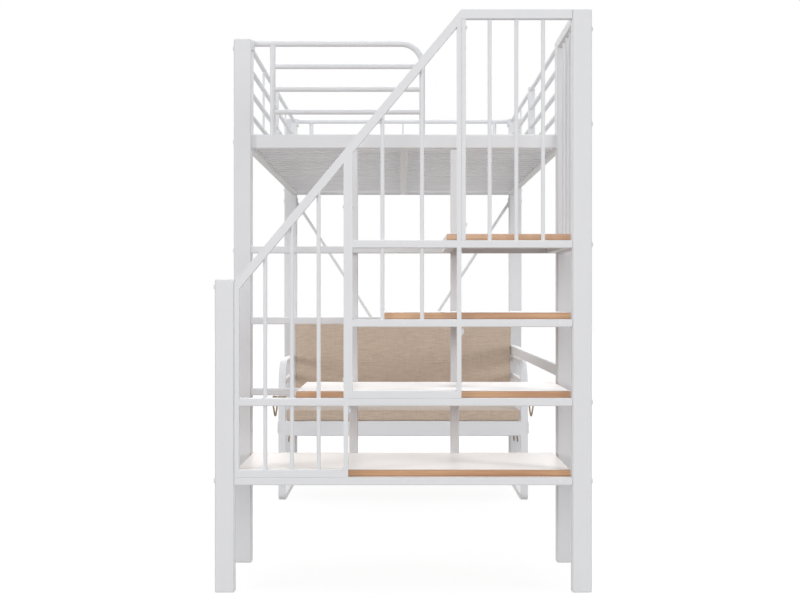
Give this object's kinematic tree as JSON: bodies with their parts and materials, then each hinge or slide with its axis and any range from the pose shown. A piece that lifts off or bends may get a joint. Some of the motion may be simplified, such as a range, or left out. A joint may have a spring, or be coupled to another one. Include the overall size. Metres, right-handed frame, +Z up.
{
  "type": "loft bed with sofa",
  "caption": "Steel loft bed with storage stairs and railing at the foot end, guards round a slatted deck, and a cushioned sofa built in below the head end.",
  "frame": {"origin": "on the floor, below the middle of the whole bed", "axes": "+X across the bed, to the right seen from the stairs; +Y from the stairs to the head end; +Z up"},
  "size_m": [1.126, 2.48, 1.713],
  "materials": {
    "white_metal": "white powder coat, satin",
    "tread_board": "orange-brown wood-grain board, satin lacquer",
    "white_plastic": "moulded, matte",
    "bolt_steel": "white painted bolt heads",
    "cushion_fabric": "beige-brown linen weave",
    "tie_fabric": "olive-brown woven tape"
  },
  "bodies": {
    "root": {"back_cushion": "cushion_fabric", "centre_beam": "white_metal", "cushion_ties": "tie_fabric", "end_railing": "white_metal", "floor_glides": "white_plastic", "foot_guard": "white_metal", "foot_left_post": "white_metal", "foot_rail": "white_metal", "foot_right_post": "white_metal", "front_left_stair_post": "white_metal", "front_right_stair_post": "white_metal", "front_stair_rail_1": "white_metal", "front_stair_rail_2": "white_metal", "front_stair_rail_3": "white_metal", "front_stair_rail_4": "white_metal", "head_guard": "white_metal", "head_left_post": "white_metal", "head_rail": "white_metal", "head_right_post": "white_metal", "left_brace": "white_metal", "left_guard_foot_half": "white_metal", "left_guard_head_half": "white_metal", "left_post_bolts": "bolt_steel", "left_rear_stair_upright": "white_metal", "left_side_rail": "white_metal", "left_slats": "white_metal", "left_tread_bearers": "white_metal", "low_head_rail": "white_metal", "low_side_rail": "white_metal", "post_caps": "white_plastic", "railing_section_a": "white_metal", "railing_section_b": "white_metal", "railing_section_c": "white_metal", "rear_stair_rail_1": "white_metal", "rear_stair_rail_2": "white_metal", "rear_stair_rail_3": "white_metal", "rear_stair_rail_4": "white_metal", "right_brace": "white_metal", "right_guard_foot_half": "white_metal", "right_guard_head_half": "white_metal", "right_post_bolts": "bolt_steel", "right_rear_stair_upright": "white_metal", "right_side_rail": "white_metal", "right_slats": "white_metal", "right_tread_bearers": "white_metal", "seat_cushion": "cushion_fabric", "sofa_back_frame": "white_metal", "sofa_bolts": "bolt_steel", "sofa_front_rail": "white_metal", "sofa_left_side_frame": "white_metal", "sofa_rear_rail": "white_metal", "sofa_right_side_frame": "white_metal", "sofa_seat_bars": "white_metal", "tread_1": "tread_board", "tread_2": "tread_board", "tread_3": "tread_board", "tread_4": "tread_board"}
  },
  "joints": []
}
